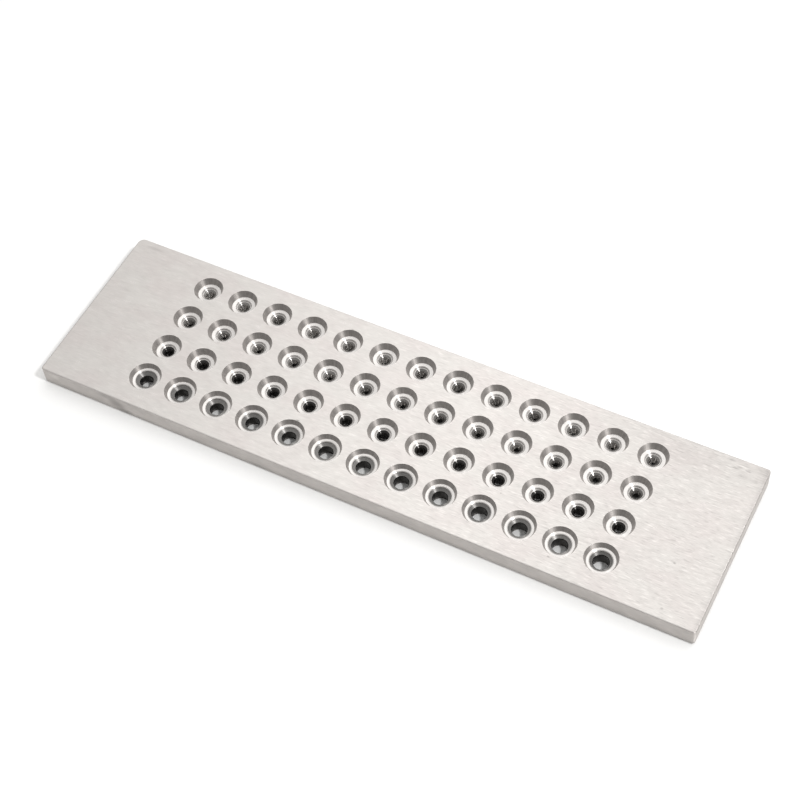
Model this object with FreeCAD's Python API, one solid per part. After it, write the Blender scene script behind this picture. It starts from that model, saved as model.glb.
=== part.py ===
import FreeCAD, Part
import math
import os

# Wire draw plate: a flat steel plate that carries four rows of hard carbide cores.
# Each core is a die of its own. The wire goes in at its wide top and is pulled out below.
# Millimetres. The origin is the middle of the bottom face, +X runs along the plate towards
# the coarser holes of each row, +Y towards the finest row, +Z up to the face with the mouths.

# Steel plate
PLATE_LENGTH = 210.0
PLATE_WIDTH = 57.0
PLATE_THICKNESS = 6.35
FAR_LEFT_CORNER_RADIUS = 2.0
CORNER_RADIUS = 0.9
TOP_EDGE_RADIUS = 0.35
BOTTOM_EDGE_RADIUS = 0.7

# Grid of holes, with its centre a little off the plate's
COLUMNS = 13
PITCH = 12.3
GRID_SHIFT_X = -0.4
GRID_SHIFT_Y = 0.7

# Wire sizes: the first bore of each row, from the far row to the near one, and the step
ROW_FIRST_BORES = (0.30, 1.10, 1.80, 3.90)
BORE_STEP = 0.05

# Fine holes, in every row but the last, and coarse holes, in the last row.
# The ledge is the flat steel ring round the core, at the foot of the conical mouth.
# The shoulder is the steel that the core stands on.
FINE_CORE_DIAMETER = 4.60
FINE_MOUTH_DEPTH = 1.95
FINE_LEDGE_WIDTH = 1.25
FINE_SHOULDER_WIDTH = 0.80
FINE_BELL_RADIUS = 1.33
COARSE_CORE_DIAMETER = 6.45
COARSE_MOUTH_DEPTH = 1.50
COARSE_LEDGE_WIDTH = 0.93
COARSE_SHOULDER_WIDTH = 0.70
COARSE_BELL_RADIUS = 2.10
MOUTH_HALF_ANGLE = 27.0

# Seats: a core is pressed in from above onto its shoulder, a little below the ledge
SHOULDER_HEIGHT = 1.0
CORE_RECESS = 0.35
PRESS_GAP = 0.0

# Working profile of a core, from the top: a narrow flat rim, a shallow dish, the steeper entry
# bell, the straight bearing that sizes the wire, and the relief that widens again below it,
# clear of the shoulder's edge
RIM_WIDTH = 0.10
DISH_HALF_ANGLE = 60.0
BELL_HALF_ANGLE = 35.0
BELL_LEAST_WIDTH = 0.15
BEARING_LENGTH_AT_ZERO = 0.25
BEARING_LENGTH_PER_BORE = 0.20
RELIEF_HALF_ANGLE = 35.0
RELIEF_LEAST_DEPTH = 0.40
RELIEF_EDGE_WIDTH = 0.05

# How far a cutter reaches past the face that it opens, and how closely edges are found
OVERRUN = 1.0
NEAR_ENOUGH = 0.01


def slope(half_angle):
    """How much a cone's radius grows for each millimetre of height."""
    return math.tan(math.radians(half_angle))


def revolved(points, x, y):
    """A solid turned about the upright axis at x, y from an outline of (radius, height) points."""
    outline = [FreeCAD.Vector(radius, 0, height) for radius, height in points]
    face = Part.Face(Part.makePolygon(outline + outline[:1]))
    solid = face.revolve(FreeCAD.Vector(0, 0, 0), FreeCAD.Vector(0, 0, 1), 360)
    solid.translate(FreeCAD.Vector(x, y, 0))
    return solid


class Hole:
    """One place in the grid, with the sizes that its seat in the steel and its core share."""

    def __init__(self, row, column):
        rows = len(ROW_FIRST_BORES)
        coarse = row == rows - 1
        core_diameter = COARSE_CORE_DIAMETER if coarse else FINE_CORE_DIAMETER
        mouth_depth = COARSE_MOUTH_DEPTH if coarse else FINE_MOUTH_DEPTH
        ledge_width = COARSE_LEDGE_WIDTH if coarse else FINE_LEDGE_WIDTH
        shoulder_width = COARSE_SHOULDER_WIDTH if coarse else FINE_SHOULDER_WIDTH
        self.name = f"core_row{row + 1}_{column + 1:02d}"
        self.x = GRID_SHIFT_X + PITCH * (column - (COLUMNS - 1) / 2)
        self.y = GRID_SHIFT_Y + PITCH * ((rows - 1) / 2 - row)
        self.bore_radius = (ROW_FIRST_BORES[row] + BORE_STEP * column) / 2
        self.core_radius = core_diameter / 2
        self.exit_radius = self.core_radius - shoulder_width
        self.ledge_radius = self.core_radius + ledge_width
        self.ledge_z = PLATE_THICKNESS - mouth_depth
        self.core_top_z = self.ledge_z - CORE_RECESS
        self.wanted_bell_radius = COARSE_BELL_RADIUS if coarse else FINE_BELL_RADIUS

    def cutter(self):
        """What is cut from the steel: the mouth, the core's seat and the exit hole, in one."""
        seat_radius = self.core_radius + PRESS_GAP
        top_z = PLATE_THICKNESS + OVERRUN
        top_radius = self.ledge_radius + (top_z - self.ledge_z) * slope(MOUTH_HALF_ANGLE)
        outline = [
            (0, -OVERRUN),
            (self.exit_radius, -OVERRUN),
            (self.exit_radius, SHOULDER_HEIGHT),
            (seat_radius, SHOULDER_HEIGHT),
            (seat_radius, self.ledge_z),
            (self.ledge_radius, self.ledge_z),
            (top_radius, top_z),
            (0, top_z),
        ]
        return revolved(outline, self.x, self.y)

    def bell_radius(self, least_bearing):
        """The bell's radius at the dish, narrower where the core is too low for the wanted one."""
        spare = self.core_top_z - SHOULDER_HEIGHT - least_bearing - RELIEF_LEAST_DEPTH
        dish_alone = (self.core_radius - RIM_WIDTH) / slope(DISH_HALF_ANGLE)
        bell_alone = self.bore_radius / slope(BELL_HALF_ANGLE)
        steeper = 1 / slope(BELL_HALF_ANGLE) - 1 / slope(DISH_HALF_ANGLE)
        widest = (spare - dish_alone + bell_alone) / steeper
        return min(widest, max(self.wanted_bell_radius, self.bore_radius + BELL_LEAST_WIDTH))

    def bearing(self):
        """The heights between which the bore is straight, and the bell's top as radius and height."""
        least = BEARING_LENGTH_AT_ZERO + BEARING_LENGTH_PER_BORE * 2 * self.bore_radius
        bell_radius = self.bell_radius(least)
        dish_width = self.core_radius - RIM_WIDTH - bell_radius
        bell_z = self.core_top_z - dish_width / slope(DISH_HALF_ANGLE)
        top = bell_z - (bell_radius - self.bore_radius) / slope(BELL_HALF_ANGLE)
        relief_width = self.exit_radius - RELIEF_EDGE_WIDTH - self.bore_radius
        bottom = min(top - least, SHOULDER_HEIGHT + relief_width / slope(RELIEF_HALF_ANGLE))
        return bottom, top, (bell_radius, bell_z)

    def core(self):
        """The carbide die: rim, dish, entry bell, straight bearing and back relief."""
        bottom, top, bell_top = self.bearing()
        relief_radius = self.bore_radius + (bottom - SHOULDER_HEIGHT) * slope(RELIEF_HALF_ANGLE)
        outline = [
            (relief_radius, SHOULDER_HEIGHT),
            (self.bore_radius, bottom),
            (self.bore_radius, top),
            bell_top,
            (self.core_radius - RIM_WIDTH, self.core_top_z),
            (self.core_radius, self.core_top_z),
            (self.core_radius, SHOULDER_HEIGHT),
        ]
        return revolved(outline, self.x, self.y)


def eased(solid, radius, chosen):
    """The solid with a radius on each edge whose bounding box is chosen."""
    return solid.makeFillet(radius, [edge for edge in solid.Edges if chosen(edge.BoundBox)])


def is_upright(box):
    return box.ZLength > PLATE_THICKNESS - NEAR_ENOUGH


def is_far_left(box):
    return box.XMax < 0 and box.YMin > 0


def blank():
    """The bare plate: a slab with rounded corners, then with its top and bottom edges eased."""
    corner = FreeCAD.Vector(-PLATE_LENGTH / 2, -PLATE_WIDTH / 2, 0)
    slab = Part.makeBox(PLATE_LENGTH, PLATE_WIDTH, PLATE_THICKNESS, corner)
    slab = eased(slab, FAR_LEFT_CORNER_RADIUS, lambda box: is_upright(box) and is_far_left(box))
    slab = eased(slab, CORNER_RADIUS, lambda box: is_upright(box) and not is_far_left(box))
    slab = eased(slab, TOP_EDGE_RADIUS, lambda box: box.ZMin > PLATE_THICKNESS - NEAR_ENOUGH)
    return eased(slab, BOTTOM_EDGE_RADIUS, lambda box: box.ZMax < NEAR_ENOUGH)


def main():
    os.makedirs("parts", exist_ok=True)
    holes = [Hole(row, column) for row in range(len(ROW_FIRST_BORES)) for column in range(COLUMNS)]
    pieces = {hole.name: hole.core() for hole in holes}
    pieces["draw_plate"] = blank().cut([hole.cutter() for hole in holes])
    for name, shape in pieces.items():
        solid = shape.Solids[0]
        solid.exportStep(f"parts/{name}.step")
        print(name, len(shape.Solids), round(solid.Volume, 3), solid.isValid())


main()
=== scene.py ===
import math

import bpy
from mathutils import Matrix, Vector


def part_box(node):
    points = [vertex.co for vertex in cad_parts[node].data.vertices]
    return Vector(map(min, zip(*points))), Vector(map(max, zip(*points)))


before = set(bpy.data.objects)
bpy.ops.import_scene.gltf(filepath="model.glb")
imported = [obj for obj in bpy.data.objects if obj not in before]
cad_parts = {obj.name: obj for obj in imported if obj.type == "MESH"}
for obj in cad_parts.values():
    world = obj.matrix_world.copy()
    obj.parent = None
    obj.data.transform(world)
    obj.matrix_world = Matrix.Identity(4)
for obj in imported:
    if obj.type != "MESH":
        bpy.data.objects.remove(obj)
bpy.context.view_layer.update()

# The look of a wire draw plate: steel and carbide, a white floor, the light and the camera.
# Lengths are in metres in the plate's own frame, with X along the plate and Z up.
MM = 0.001

# Where the camera stands and where it looks
CAMERA_PLACE = Vector((0.1579, -0.2455, 0.4152))
CAMERA_AIM = Vector((-0.00086, 0.00641, 0.00635))
CAMERA_ROLL = math.radians(6.07)
FIELD_OF_VIEW = math.radians(26.06)
NEAR_CLIP = 0.01
FAR_CLIP = 10.0

# The plate as it was packed
PLATE_LOW, PLATE_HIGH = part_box("draw_plate")
TOP_Z = PLATE_HIGH.z
ROWS = 4
COLUMNS = 13


def core_name(row, column):
    """The node of the core in a row counted from the far one and a column from the left."""
    return f"core_row{row + 1}_{column + 1:02d}"


def core_middle(row, column):
    low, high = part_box(core_name(row, column))
    return (low + high) / 2


def core_radius(row):
    low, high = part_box(core_name(row, 0))
    return (high.y - low.y) / 2


FIRST_HOLE = core_middle(0, 0)
LAST_HOLE = core_middle(ROWS - 1, COLUMNS - 1)
PITCH = (LAST_HOLE.x - FIRST_HOLE.x) / (COLUMNS - 1)
SHOULDER_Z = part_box(core_name(0, 0))[0].z
FINE_CORE_RADIUS = core_radius(0)
COARSE_CORE_RADIUS = core_radius(ROWS - 1)
FINE_MOUTH_RADIUS = 4.544 * MM
COARSE_MOUTH_RADIUS = 4.919 * MM

# How far past or short of an edge a part of the surface still counts as it
PAST_RADIUS = 0.02 * MM
BELOW_TOP = 0.015 * MM
ABOVE_SHOULDER = 0.1 * MM

# Colours of the steel
TOP_STEEL = (0.716, 0.688, 0.662)
PINK_STEEL = (0.697, 0.655, 0.634)
SIDE_STEEL = (0.590, 0.558, 0.535)
# The mouth's wall and the exit hole are darker copies of the turned steel: painted shade for the hollow
# of each hole.
SHADED_WALL_STEEL = (0.455, 0.428, 0.409)
SHADED_EXIT_STEEL = (0.130, 0.124, 0.120)
LEDGE_STEEL = (0.705, 0.680, 0.662)
UNDER_STEEL = (0.560, 0.540, 0.520)

# Colours of the carbide, and of the joint round each core
FINE_DISH = (0.820, 0.792, 0.766)
COARSE_DISH = (0.270, 0.262, 0.254)
# The bell and the bore are darker copies of the carbide: painted shade for their deep hollows.
SHADED_BELL_CARBIDE = (0.230, 0.221, 0.212)
SHADED_BORE_CARBIDE = (0.050, 0.047, 0.044)
JOINT_SHADE = (0.160, 0.148, 0.140)

# The fine dishes are light outside this radius, which fades in from the first to the second; inside it
# they take the bell's painted shade
FINE_DISH_EDGE = (1.86 * MM, 2.00 * MM)

# Roughness, which each surface varies a little, and how far the grooves stretch a highlight
TOP_ROUGHNESS = 0.30
SIDE_ROUGHNESS = 0.44
HOLE_ROUGHNESS = 0.33
WALL_ROUGHNESS = 0.57
LEDGE_ROUGHNESS = 0.25
STEEL_ROUGHNESS_CHANGE = 0.12
BORE_ROUGHNESS = 0.30
BELL_ROUGHNESS = 0.27
DISH_ROUGHNESS = 0.48
CARBIDE_ROUGHNESS_CHANGE = 0.08
STREAK_ANISOTROPY = 0.95

# Grinding strokes: length and width
FINE_STROKES = (1.5 * MM, 0.24 * MM)
LIGHT_STROKES = (3.2 * MM, 0.42 * MM)
DARK_STROKES = (3.0 * MM, 0.40 * MM)
SIDE_STROKES = (2.2 * MM, 0.30 * MM)
RELIEF_STROKES = (1.3 * MM, 0.20 * MM)
STROKE_SWAY = 2.2 * MM
SWAYS_PER_METRE = 45.0
CLEAR_STROKE = (0.55, 0.72)

# Soft patches, in counts per metre
COLOUR_PATCHES = (70.0, 110.0)
TONE_PATCHES = (180.0, 420.0)
SIDE_PATCHES = (140.0, 250.0)
ROUGHNESS_PATCHES = (300.0, 900.0)
ROUGHNESS_PATCHES_UP = 500.0

# How much each of them lightens or darkens the steel
FINE_STROKE_TONE = 0.26
LIGHT_STROKE_TONE = 0.16
DARK_STROKE_TONE = 0.13
TOP_PATCH_TONE = 0.06
SIDE_STROKE_TONE = 0.28
SIDE_PATCH_TONE = 0.30
WALL_RING_TONE = 0.30
WALL_STREAK_TONE = 0.55
LEDGE_RING_TONE = 0.22

# Slow changes along or up the steel: from a place, to a place, and the value at each.
# The grain is stronger at the right end, and the top is darker at both ends: painted shade for the
# room's bright side, mirrored less there than in the middle.
GRAIN_ALONG = (-0.060, 0.090, 0.35, 1.0)
PAINTED_SHADE_ALONG_TOP = (
    (-0.105, 0.000, 0.965, 1.0),
    (0.020, 0.090, 1.0, 0.905),
    (0.103, 0.105, 1.0, 0.880),
)
# Painted shade: the sides darken towards the foot, where they mirror the floor's contact shadow.
PAINTED_SHADE_UP_THE_SIDE = (0.0, 2.4 * MM, 0.78, 1.0)

# The line of light and shade round each mouth: how far out, half its width, and its softness
RIM_LINE = (0.06 * MM, 0.05 * MM, 0.10 * MM)
RIM_TONES = (0.90, 1.14)
RIM_CHANGES = 3.0

# Turned marks in the holes: the spacing of the rings, and the lines down the slope, chatter marks whose
# light and dark are painted highlight streaks
STEEL_RINGS = 0.16 * MM
CARBIDE_RINGS = 0.13 * MM
STEEL_LINES = 7.0
CARBIDE_LINES = 5.0

# Where the joint round a core shades the ledge and the dish, and how strongly
LEDGE_JOINT = (0.02 * MM, 0.12 * MM)
LEDGE_JOINT_STRENGTH = 0.6
DISH_JOINT = (0.03 * MM, 0.14 * MM)
DISH_JOINT_STRENGTH = 0.7

# The ledge falls a little towards the core, and its inner edge is rolled over
LEDGE_FALL = 0.15
LEDGE_ROLL = 0.30 * MM
STEEL_RELIEF = 0.002 * MM

# The carbide's flecks, its own tone from core to core, and painted shade that darkens the bells of the
# two coarser rows
FLECKS_PER_METRE = 2600.0
FINE_FLECK_TONE = 0.12
COARSE_FLECK_TONE = 0.76
CORE_RING_TONE = 0.30
DISH_RING_TONE = 0.36
BELL_STREAK_TONE = 0.5
CORE_TONES = (0.80, 1.20)
BELL_SHADE_BY_ROW = (1.2, 1.8, 1.0, 0.22)
CARBIDE_RELIEF = 0.0015 * MM
CARBIDE_RELIEF_STRENGTH = 0.5

# Marks on the top face: middle x, y and half width, height in mm, and how much darker
TOP_MARKS = (
    (88.0, 28.0, 46.0, 15.0, 0.06),
    (103.7, 26.7, 3.2, 2.6, 0.10),
    (95.6, 25.0, 1.6, 0.45, 0.24),
    (99.3, 25.3, 1.5, 0.40, 0.24),
    (94.0, 27.1, 1.4, 0.40, 0.16),
    (96.7, 25.7, 1.2, 0.35, 0.16),
    (98.4, 23.2, 2.6, 1.2, 0.07),
    (102.0, 22.8, 1.6, 0.8, 0.08),
    (97.5, 26.3, 2.4, 0.30, -0.16),
    (-98.5, 26.3, 4.2, 0.9, 0.14),
    (-25.9, 23.6, 0.7, 0.45, 0.30),
    (-24.6, -12.7, 0.9, 0.45, 0.45),
    (60.2, -23.5, 0.7, 0.35, 0.30),
    (91.9, -10.9, 0.6, 0.45, 0.28),
    (94.1, -25.3, 0.7, 0.45, 0.22),
    (-14.1, 8.1, 0.4, 0.30, 0.25),
    (39.7, -10.4, 0.4, 0.30, 0.25),
)

# Marks on the near side: middle x, z and half width, height in mm, and how much darker
FRONT_MARKS = (
    (-81.5, 5.4, 4.5, 1.8, 0.22),
    (-78.5, 3.4, 3.6, 2.6, 0.28),
    (-75.5, 1.2, 3.6, 1.8, 0.30),
    (-30.0, 1.2, 3.5, 1.2, 0.10),
    (-101.0, 4.4, 3.2, 1.6, -0.12),
)

# The room's light: towards its bright side, its colour, and the light at each cosine from it
BRIGHT_SIDE = (math.radians(95.0), math.radians(58.0))
ROOM_COLOUR = (1.0, 0.995, 0.985, 1.0)
ROOM_LIGHT = (
    (-1.0, 0.50),
    (-0.2, 0.50),
    (0.3, 0.54),
    (0.75, 0.70),
    (0.88, 1.05),
    (0.96, 1.65),
    (1.0, 1.65),
)
LAMP_SIDE = (math.radians(-5.0), math.radians(57.0))
LAMP_DISTANCE = 1.2
LAMP_SIZE = 0.12
LAMP_POWER = 6.2

# The floor, whose faint glow leaves out the plate's footprint
FLOOR_REACH = 3.0
FLOOR_GAP = 0.02 * MM
FLOOR_COLOUR = (0.92, 0.92, 0.915, 1.0)
FLOOR_ROUGHNESS = 0.9
FLOOR_GLOW = 0.04
GLOW_EDGE = (-0.6 * MM, 0.2 * MM)


def direction(azimuth, elevation):
    flat = math.cos(elevation)
    return Vector((flat * math.cos(azimuth), flat * math.sin(azimuth), math.sin(elevation)))


class Graph:
    """Short ways to add nodes to a material or the world."""

    def __init__(self, tree):
        self.tree = tree

    def node(self, kind, **settings):
        made = self.tree.nodes.new(kind)
        for name, value in settings.items():
            setattr(made, name, value)
        return made

    def feed(self, socket, value):
        if isinstance(value, bpy.types.NodeSocket):
            self.tree.links.new(value, socket)
        elif value is not None:
            socket.default_value = value

    def math(self, operation, *values):
        made = self.node("ShaderNodeMath", operation=operation)
        for socket, value in zip(made.inputs, values):
            self.feed(socket, value)
        return made.outputs[0]

    def add(self, first, second):
        return self.math("ADD", first, second)

    def less(self, first, second):
        return self.math("SUBTRACT", first, second)

    def times(self, first, second):
        return self.math("MULTIPLY", first, second)

    def inverse(self, value):
        return self.math("SUBTRACT", 1.0, value)

    def size(self, value):
        return self.math("ABSOLUTE", value)

    def larger(self, first, second):
        return self.math("MAXIMUM", first, second)

    def nearest(self, value, last):
        """The nearest whole number, from 0 to the last one."""
        return self.math("MINIMUM", self.larger(self.math("ROUND", value), 0.0), last)

    def vector(self, operation, *values):
        made = self.node("ShaderNodeVectorMath", operation=operation)
        for socket, value in zip(made.inputs, values):
            self.feed(socket, value)
        return made.outputs["Value" if operation in ("LENGTH", "DOT_PRODUCT") else "Vector"]

    def combine(self, x, y, z):
        made = self.node("ShaderNodeCombineXYZ")
        for socket, value in zip(made.inputs, (x, y, z)):
            self.feed(socket, value)
        return made.outputs[0]

    def separate(self, vector):
        made = self.node("ShaderNodeSeparateXYZ")
        self.feed(made.inputs[0], vector)
        return made.outputs

    def noise(self, vector, detail=2.0):
        """Noise whose grain is about 1 across in the vector's own units, around 0.5."""
        made = self.node("ShaderNodeTexNoise")
        for name, value in (("Vector", vector), ("Scale", 1.0), ("Detail", detail), ("Roughness", 0.5)):
            self.feed(made.inputs[name], value)
        return made.outputs["Fac"]

    def vary(self, base, noise, amount):
        """The base, higher or lower by a share of the amount as the noise lies about 0.5."""
        return self.add(base, self.times(self.less(noise, 0.5), amount))

    def spread(self, value, low, high, to_low=0.0, to_high=1.0):
        """Maps low..high smoothly to to_low..to_high, held beyond them."""
        made = self.node("ShaderNodeMapRange", interpolation_type="SMOOTHSTEP")
        for socket, item in zip(made.inputs, (value, low, high, to_low, to_high)):
            self.feed(socket, item)
        return made.outputs["Result"]

    def fade(self, value, low, high):
        """1 up to low, falling to 0 at high."""
        return self.spread(value, low, high, 1.0, 0.0)

    def tint(self, factor, first, second):
        """Between two colours."""
        made = self.node("ShaderNodeMix", data_type="RGBA")
        factor_socket, first_socket, second_socket = made.inputs[0], made.inputs[6], made.inputs[7]
        self.feed(factor_socket, factor)
        self.feed(first_socket, first if isinstance(first, bpy.types.NodeSocket) else (*first, 1.0))
        self.feed(second_socket, second if isinstance(second, bpy.types.NodeSocket) else (*second, 1.0))
        return made.outputs[2]

    def shade(self, colour, factor):
        """The colour made lighter or darker by a factor."""
        return self.vector("MULTIPLY", colour, self.combine(factor, factor, factor))

    def blend(self, factor, first, second):
        """Between two numbers."""
        return self.add(first, self.times(factor, self.less(second, first)))

    def bump(self, height, distance, strength):
        made = self.node("ShaderNodeBump")
        self.feed(made.inputs["Strength"], strength)
        self.feed(made.inputs["Distance"], distance)
        self.feed(made.inputs["Height"], height)
        return made.outputs["Normal"]


def new_material(name):
    """A material with an empty Principled shader, its graph, and that shader."""
    material = bpy.data.materials.new(name)
    material.use_nodes = True
    graph = Graph(material.node_tree)
    shader = material.node_tree.nodes["Principled BSDF"]
    return material, graph, shader


def hole_place(graph, point):
    """Where a point lies about the nearest hole's axis, and facts about that hole."""
    x, y, z = graph.separate(point)
    across = graph.math("DIVIDE", graph.less(x, FIRST_HOLE.x), PITCH)
    down = graph.math("DIVIDE", graph.less(FIRST_HOLE.y, y), PITCH)
    column = graph.nearest(across, COLUMNS - 1.0)
    row = graph.nearest(down, ROWS - 1.0)
    local_x = graph.times(graph.less(across, column), PITCH)
    local_y = graph.times(graph.less(row, down), PITCH)
    local = graph.combine(local_x, local_y, 0.0)
    white = graph.node("ShaderNodeTexWhiteNoise", noise_dimensions="2D")
    graph.feed(white.inputs["Vector"], graph.combine(column, row, 0.0))
    coarse = graph.math("GREATER_THAN", row, ROWS - 1.5)
    return {
        "x": x,
        "y": y,
        "z": z,
        "outward": graph.vector("NORMALIZE", local),
        "radius": graph.vector("LENGTH", local),
        "around": graph.vector("NORMALIZE", graph.vector("CROSS_PRODUCT", (0.0, 0.0, 1.0), local)),
        "seed": white.outputs["Value"],
        "row": row,
        "coarse": coarse,
        "core": graph.blend(coarse, FINE_CORE_RADIUS, COARSE_CORE_RADIUS),
    }


def turned_rings(graph, hole, spacing):
    """Fine concentric lathe lines about the hole's axis, 0 to 1."""
    across = graph.math("DIVIDE", hole["radius"], spacing)
    up = graph.math("DIVIDE", hole["z"], spacing)
    shift = graph.times(hole["seed"], 40.0)
    return graph.noise(graph.combine(graph.add(across, up), shift, 0.0), detail=1.0)


def painted_streak_lines(graph, hole, count):
    """Uneven lines along the slope of a turned face, 0 to 1: chatter marks, with painted highlight and
    shade streaks in their light and dark.
    """
    turn = graph.vector("MULTIPLY", hole["outward"], (count, count, 0.0))
    shift = graph.add(graph.times(hole["seed"], 60.0), graph.times(hole["z"], 300.0))
    return graph.noise(graph.vector("ADD", turn, graph.combine(0.0, 0.0, shift)))


def dashes(graph, x, y, stroke, seed):
    """Short strokes along X, 0 to 1 around 0.5."""
    length, width = stroke
    sway_place = graph.combine(graph.times(x, SWAYS_PER_METRE), graph.times(y, SWAYS_PER_METRE), seed)
    swayed = graph.vary(y, graph.noise(sway_place, detail=1.0), STROKE_SWAY)
    place = graph.combine(graph.math("DIVIDE", x, length), graph.math("DIVIDE", swayed, width), seed)
    return graph.noise(place, detail=1.0)


def patches(graph, first, second, counts, third, detail=2.0):
    """Soft patches, 0 to 1 around 0.5, with a count per metre along each of two directions."""
    place = graph.combine(graph.times(first, counts[0]), graph.times(second, counts[1]), third)
    return graph.noise(place, detail)


def spot(graph, first, second, mark):
    """How much a mark darkens a place: its own amount in its middle, 0 at its elliptic edge."""
    middle_first, middle_second, half_first, half_second, amount = mark
    across = graph.math("DIVIDE", graph.less(first, middle_first * MM), half_first * MM)
    up = graph.math("DIVIDE", graph.less(second, middle_second * MM), half_second * MM)
    away = graph.vector("LENGTH", graph.combine(across, up, 0.0))
    return graph.times(graph.fade(away, 0.2, 1.0), amount)


def plate_regions(graph, hole, normal):
    """How far a place belongs to each kind of surface of the plate, 0 to 1."""
    normal_x, normal_y, normal_z = graph.separate(normal)
    radius, z, core = hole["radius"], hole["z"], hole["core"]
    mouth = graph.blend(hole["coarse"], FINE_MOUTH_RADIUS, COARSE_MOUTH_RADIUS)
    inside_mouth = graph.math("LESS_THAN", radius, graph.add(mouth, PAST_RADIUS))
    below_top = graph.math("LESS_THAN", z, TOP_Z - BELOW_TOP)
    above_seat = graph.math("GREATER_THAN", z, SHOULDER_Z + ABOVE_SHOULDER)
    funnel = graph.times(inside_mouth, graph.times(below_top, above_seat))
    under_core = graph.times(graph.math("LESS_THAN", radius, core), graph.inverse(above_seat))
    exit_wall = graph.times(under_core, graph.spread(normal_z, -0.7, -0.3))
    in_hole = graph.larger(funnel, exit_wall)
    level = graph.spread(normal_z, 0.75, 0.90)
    upright = graph.fade(graph.size(normal_z), 0.35, 0.75)
    # The fillets at both ends take the sides' darker colour: painted shade that dims the lamp's
    # highlight on them.
    ends = graph.spread(graph.size(normal_x), 0.10, 0.35)
    upright = graph.larger(upright, graph.times(ends, graph.fade(normal_z, 0.90, 0.99)))
    return {
        "mouth": mouth,
        "in_hole": in_hole,
        "exit_wall": exit_wall,
        "seat_wall": graph.math("LESS_THAN", radius, graph.add(core, PAST_RADIUS)),
        "ledge": graph.times(in_hole, level),
        "wall": graph.times(in_hole, graph.inverse(level)),
        "side": graph.times(upright, graph.inverse(in_hole)),
        "front": graph.fade(normal_y, -0.7, -0.4),
        "end": graph.spread(graph.size(normal_x), 0.6, 0.8),
        "under": graph.fade(normal_z, -0.9, -0.7),
    }


def grain_tone(graph, hole):
    """The factor that the grinding strokes and slow patches give the level faces."""
    x, y = hole["x"], hole["y"]
    fine = dashes(graph, x, y, FINE_STROKES, 7.0)
    light = graph.spread(dashes(graph, x, y, LIGHT_STROKES, 19.0), *CLEAR_STROKE)
    dark = graph.spread(dashes(graph, x, y, DARK_STROKES, 31.0), *CLEAR_STROKE)
    grain = graph.vary(graph.times(light, LIGHT_STROKE_TONE), fine, FINE_STROKE_TONE)
    grain = graph.less(grain, graph.times(dark, DARK_STROKE_TONE))
    factor = graph.add(1.0, graph.times(grain, graph.spread(x, *GRAIN_ALONG)))
    return graph.vary(factor, patches(graph, x, y, TONE_PATCHES, 9.0), TOP_PATCH_TONE)


def top_colour(graph, hole, regions, factor):
    """The brushed top, with its marks, painted shade at both ends, and the line round each mouth."""
    x, y = hole["x"], hole["y"]
    cloud = patches(graph, x, y, COLOUR_PATCHES, 3.0, detail=3.0)
    colour = graph.tint(graph.spread(cloud, 0.35, 0.70), TOP_STEEL, PINK_STEEL)
    # Painted shade: the top darkens towards both ends.
    for change in PAINTED_SHADE_ALONG_TOP:
        factor = graph.times(factor, graph.spread(x, *change))
    for mark in TOP_MARKS:
        factor = graph.less(factor, spot(graph, x, y, mark))
    colour = graph.shade(colour, factor)

    out, half_width, soft = RIM_LINE
    away = graph.size(graph.less(hole["radius"], graph.add(regions["mouth"], out)))
    line = graph.fade(away, half_width, half_width + soft)
    change = graph.noise(graph.vector("MULTIPLY", hole["outward"], (RIM_CHANGES, RIM_CHANGES, 0.0)))
    tone = graph.spread(change, 0.35, 0.65, *RIM_TONES)
    line = graph.times(line, graph.inverse(regions["in_hole"]))
    return graph.shade(colour, graph.blend(line, 1.0, tone))


def side_colour(graph, hole, regions):
    """The four upright sides, darker at the foot with painted shade of the floor's contact shadow that
    they mirror, and with marks on the near one.
    """
    along, z = graph.add(hole["x"], hole["y"]), hole["z"]
    factor = graph.spread(z, *PAINTED_SHADE_UP_THE_SIDE)
    factor = graph.vary(factor, dashes(graph, along, z, SIDE_STROKES, 43.0), SIDE_STROKE_TONE)
    factor = graph.vary(factor, patches(graph, along, z, SIDE_PATCHES, 5.0), SIDE_PATCH_TONE)
    for mark in FRONT_MARKS:
        factor = graph.less(factor, graph.times(spot(graph, hole["x"], z, mark), regions["front"]))
    return graph.shade(graph.combine(*SIDE_STEEL), factor)


def wall_colour(graph, hole, regions, rings):
    """The conical mouth, the seat's short wall above the core, and the exit hole; the mouth's wall and
    the exit hole are painted shade.
    """
    factor = graph.vary(1.0, rings, WALL_RING_TONE)
    factor = graph.vary(factor, painted_streak_lines(graph, hole, STEEL_LINES), WALL_STREAK_TONE)
    colour = graph.tint(regions["seat_wall"], SHADED_WALL_STEEL, LEDGE_STEEL)
    colour = graph.tint(regions["exit_wall"], colour, SHADED_EXIT_STEEL)
    return graph.shade(colour, factor)


def ledge_colour(graph, hole, rings):
    """The flat ring round the core, shaded at the joint."""
    colour = graph.shade(graph.combine(*LEDGE_STEEL), graph.vary(1.0, rings, LEDGE_RING_TONE))
    joint = graph.fade(graph.less(hole["radius"], hole["core"]), *LEDGE_JOINT)
    return graph.tint(graph.times(joint, LEDGE_JOINT_STRENGTH), colour, JOINT_SHADE)


def steel_roughness(graph, hole, regions):
    rough = graph.blend(regions["side"], TOP_ROUGHNESS, SIDE_ROUGHNESS)
    rough = graph.blend(regions["in_hole"], rough, HOLE_ROUGHNESS)
    rough = graph.blend(regions["wall"], rough, WALL_ROUGHNESS)
    rough = graph.blend(regions["ledge"], rough, LEDGE_ROUGHNESS)
    height = graph.times(hole["z"], ROUGHNESS_PATCHES_UP)
    patch = patches(graph, hole["x"], hole["y"], ROUGHNESS_PATCHES, height)
    return graph.vary(rough, patch, STEEL_ROUGHNESS_CHANGE)


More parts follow.
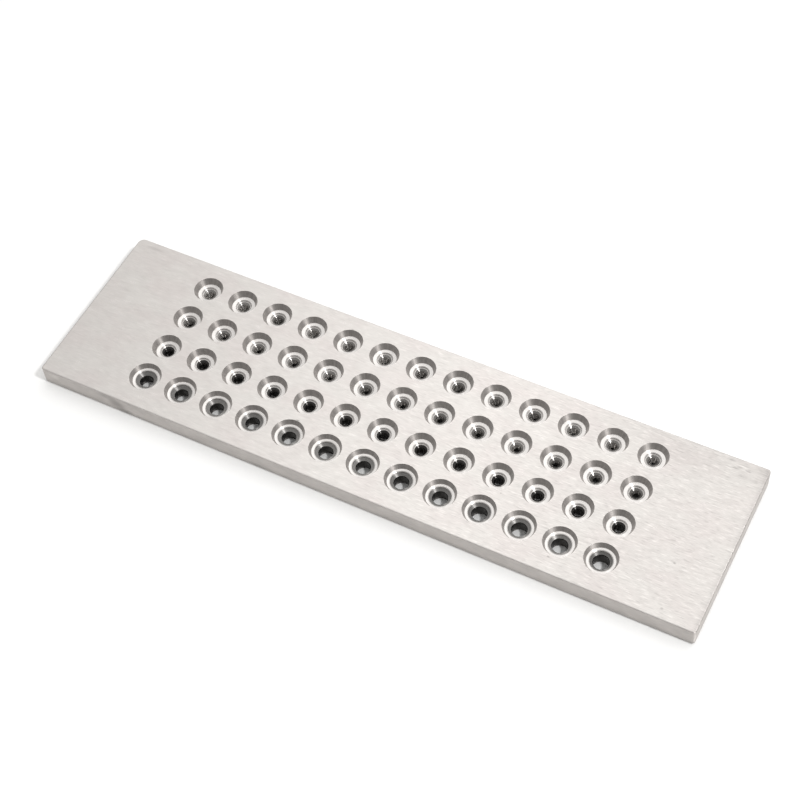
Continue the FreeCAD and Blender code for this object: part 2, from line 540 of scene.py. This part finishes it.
def steel_relief(graph, hole, regions, rings):
    """The normal bent by the grain and the rings, and by the ledge's fall and rolled edge."""
    grain = dashes(graph, hole["x"], hole["y"], RELIEF_STROKES, 7.0)
    height = graph.times(graph.blend(regions["in_hole"], grain, rings), STEEL_RELIEF)
    from_core = graph.less(hole["radius"], hole["core"])
    rolled = graph.spread(from_core, 0.0, LEDGE_ROLL, 0.0, LEDGE_ROLL / 4)
    fall = graph.add(graph.times(from_core, LEDGE_FALL), rolled)
    height = graph.add(height, graph.times(regions["ledge"], fall))
    return graph.bump(height, 1.0, 1.0)


def steel_plate():
    """Steel brushed along X, turned in the holes."""
    material, graph, shader = new_material("plate_steel_brushed")
    coordinates = graph.node("ShaderNodeTexCoord")
    hole = hole_place(graph, coordinates.outputs["Object"])
    normal = coordinates.outputs["Normal"]
    regions = plate_regions(graph, hole, normal)
    rings = turned_rings(graph, hole, STEEL_RINGS)

    grain = grain_tone(graph, hole)
    under = graph.shade(graph.combine(*UNDER_STEEL), grain)
    colour = graph.tint(regions["under"], top_colour(graph, hole, regions, grain), under)
    colour = graph.tint(regions["side"], colour, side_colour(graph, hole, regions))
    colour = graph.tint(regions["wall"], colour, wall_colour(graph, hole, regions, rings))
    colour = graph.tint(regions["ledge"], colour, ledge_colour(graph, hole, rings))
    graph.feed(shader.inputs["Base Color"], colour)

    graph.feed(shader.inputs["Roughness"], steel_roughness(graph, hole, regions))
    brushed = graph.tint(regions["end"], (1.0, 0.0, 0.0), (0.0, 1.0, 0.0))
    grooves = graph.tint(regions["in_hole"], brushed, hole["around"])
    graph.feed(shader.inputs["Tangent"], graph.vector("CROSS_PRODUCT", normal, grooves))
    shader.inputs["Anisotropic"].default_value = STREAK_ANISOTROPY
    shader.inputs["Metallic"].default_value = 1.0
    graph.feed(shader.inputs["Normal"], steel_relief(graph, hole, regions, rings))
    return material


def carbide_flecks(graph, hole, point):
    """Fine flecks, 0 to 1 around 0.5, that differ from core to core."""
    shift = graph.combine(graph.times(hole["seed"], 90.0), 0.0, 0.0)
    place = graph.vector("SCALE", graph.vector("ADD", point, shift))
    flecks = graph.noise(place, detail=3.0)
    flecks.node.inputs["Scale"].default_value = FLECKS_PER_METRE
    return flecks


def bell_colour(graph, hole, factor):
    factor = graph.vary(factor, painted_streak_lines(graph, hole, CARBIDE_LINES), BELL_STREAK_TONE)
    # Painted shade: the bells of the two coarser rows are darker.
    factor = graph.times(factor, graph.spread(hole["row"], *BELL_SHADE_BY_ROW))
    return graph.shade(graph.combine(*SHADED_BELL_CARBIDE), factor)


def dish_colour(graph, hole, factor, rings):
    """Light in the fine cores and dark in the coarse ones, shaded at the joint."""
    fine = graph.shade(graph.combine(*FINE_DISH), graph.vary(1.0, rings, DISH_RING_TONE))
    coarse = graph.shade(graph.combine(*COARSE_DISH), factor)
    colour = graph.tint(hole["coarse"], fine, coarse)
    joint = graph.fade(graph.less(hole["core"], hole["radius"]), *DISH_JOINT)
    return graph.tint(graph.times(joint, DISH_JOINT_STRENGTH), colour, JOINT_SHADE)


def carbide():
    """Ground carbide: dish, entry bell and bore, each with its own colour, the bell's and the bore's
    darkened with painted shade.
    """
    material, graph, shader = new_material("carbide_ground")
    coordinates = graph.node("ShaderNodeTexCoord")
    hole = hole_place(graph, coordinates.outputs["Object"])
    normal = coordinates.outputs["Normal"]
    normal_z = graph.separate(normal)[2]
    past_bell = graph.larger(hole["coarse"], graph.spread(hole["radius"], *FINE_DISH_EDGE))
    dish = graph.times(graph.spread(normal_z, 0.66, 0.80), past_bell)
    bell = graph.times(graph.spread(normal_z, 0.25, 0.45), graph.inverse(dish))
    rings = turned_rings(graph, hole, CARBIDE_RINGS)
    flecks = carbide_flecks(graph, hole, coordinates.outputs["Object"])

    fleck_tone = graph.blend(hole["coarse"], FINE_FLECK_TONE, COARSE_FLECK_TONE)
    factor = graph.vary(1.0, flecks, fleck_tone)
    factor = graph.vary(factor, rings, CORE_RING_TONE)
    factor = graph.times(factor, graph.spread(hole["seed"], 0.0, 1.0, *CORE_TONES))
    # Bore and bell colours, both darkened with painted shade.
    colour = graph.tint(bell, SHADED_BORE_CARBIDE, bell_colour(graph, hole, factor))
    colour = graph.tint(dish, colour, dish_colour(graph, hole, factor, rings))
    graph.feed(shader.inputs["Base Color"], colour)

    rough = graph.blend(bell, BORE_ROUGHNESS, BELL_ROUGHNESS)
    rough = graph.blend(dish, rough, DISH_ROUGHNESS)
    graph.feed(shader.inputs["Roughness"], graph.vary(rough, flecks, CARBIDE_ROUGHNESS_CHANGE))
    graph.feed(shader.inputs["Tangent"], graph.vector("CROSS_PRODUCT", normal, hole["around"]))
    shader.inputs["Anisotropic"].default_value = STREAK_ANISOTROPY
    shader.inputs["Metallic"].default_value = 1.0
    relief = graph.blend(dish, rings, flecks)
    graph.feed(shader.inputs["Normal"], graph.bump(relief, CARBIDE_RELIEF, CARBIDE_RELIEF_STRENGTH))
    return material


def wear(material, *names):
    """Gives the named pieces one material in place of theirs."""
    for name in names:
        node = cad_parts[name]
        node.data.materials.clear()
        node.data.materials.append(material)


def floor_glow(graph):
    """The floor's glow in direct view and in mirrors, 0 under the plate."""
    rays = graph.node("ShaderNodeLightPath").outputs
    seen = graph.larger(rays["Is Camera Ray"], rays["Is Glossy Ray"])
    seen = graph.larger(seen, rays["Is Transmission Ray"])
    x, y, _ = graph.separate(graph.node("ShaderNodeTexCoord").outputs["Object"])
    past_end = graph.less(graph.size(x), PLATE_HIGH.x)
    past_side = graph.less(graph.size(y), PLATE_HIGH.y)
    open_floor = graph.spread(graph.larger(past_end, past_side), *GLOW_EDGE)
    return graph.times(graph.times(seen, open_floor), FLOOR_GLOW)


def floor():
    mesh = bpy.data.meshes.new("floor")
    signs = ((-1, -1), (1, -1), (1, 1), (-1, 1))
    corners = [(x * FLOOR_REACH, y * FLOOR_REACH, 0) for x, y in signs]
    mesh.from_pydata(corners, [], [(0, 1, 2, 3)])
    made = bpy.data.objects.new("floor", mesh)
    bpy.context.scene.collection.objects.link(made)
    made.location.z = PLATE_LOW.z - FLOOR_GAP
    material, graph, shader = new_material("floor_white")
    shader.inputs["Base Color"].default_value = FLOOR_COLOUR
    shader.inputs["Roughness"].default_value = FLOOR_ROUGHNESS
    shader.inputs["Specular IOR Level"].default_value = 0.0
    shader.inputs["Emission Color"].default_value = (1.0, 1.0, 1.0, 1.0)
    graph.feed(shader.inputs["Emission Strength"], floor_glow(graph))
    mesh.materials.append(material)


def sky():
    """A pale room, bright towards one side above and dim near the ground."""
    world = bpy.data.worlds.new("room")
    bpy.context.scene.world = world
    world.use_nodes = True
    graph = Graph(world.node_tree)
    background = world.node_tree.nodes["Background"]
    toward = graph.vector("NORMALIZE", graph.node("ShaderNodeTexCoord").outputs["Generated"])
    cosine = graph.vector("DOT_PRODUCT", toward, tuple(direction(*BRIGHT_SIDE)))
    glow = ROOM_LIGHT[0][1]
    for (low, low_light), (high, high_light) in zip(ROOM_LIGHT, ROOM_LIGHT[1:]):
        step = graph.node("ShaderNodeMapRange")
        for socket, item in zip(step.inputs, (cosine, low, high, 0.0, high_light - low_light)):
            graph.feed(socket, item)
        glow = graph.add(glow, step.outputs["Result"])
    background.inputs["Color"].default_value = ROOM_COLOUR
    graph.feed(background.inputs["Strength"], glow)


def lamp():
    """A small square lamp, whose light draws the streaks in the holes."""
    data = bpy.data.lights.new("side_lamp", "AREA")
    data.shape = "SQUARE"
    data.size = LAMP_SIZE
    data.energy = LAMP_POWER
    made = bpy.data.objects.new("side_lamp", data)
    toward = direction(*LAMP_SIDE)
    made.location = toward * LAMP_DISTANCE
    made.rotation_mode = "QUATERNION"
    made.rotation_quaternion = toward.to_track_quat("Z", "Y")
    bpy.context.scene.collection.objects.link(made)


def camera():
    data = bpy.data.cameras.new("camera")
    data.angle = FIELD_OF_VIEW
    data.clip_start = NEAR_CLIP
    data.clip_end = FAR_CLIP
    made = bpy.data.objects.new("camera", data)
    made.location = CAMERA_PLACE
    made.rotation_mode = "QUATERNION"
    level = (CAMERA_AIM - CAMERA_PLACE).to_track_quat("-Z", "Y")
    made.rotation_quaternion = level @ Matrix.Rotation(-CAMERA_ROLL, 3, "Z").to_quaternion()
    bpy.context.scene.collection.objects.link(made)
    bpy.context.scene.camera = made


def all_cores():
    return [core_name(row, column) for row in range(ROWS) for column in range(COLUMNS)]


def main():
    wear(steel_plate(), "draw_plate")
    wear(carbide(), *all_cores())
    floor()
    sky()
    lamp()
    camera()
    bpy.context.scene.view_settings.view_transform = "Standard"


main()
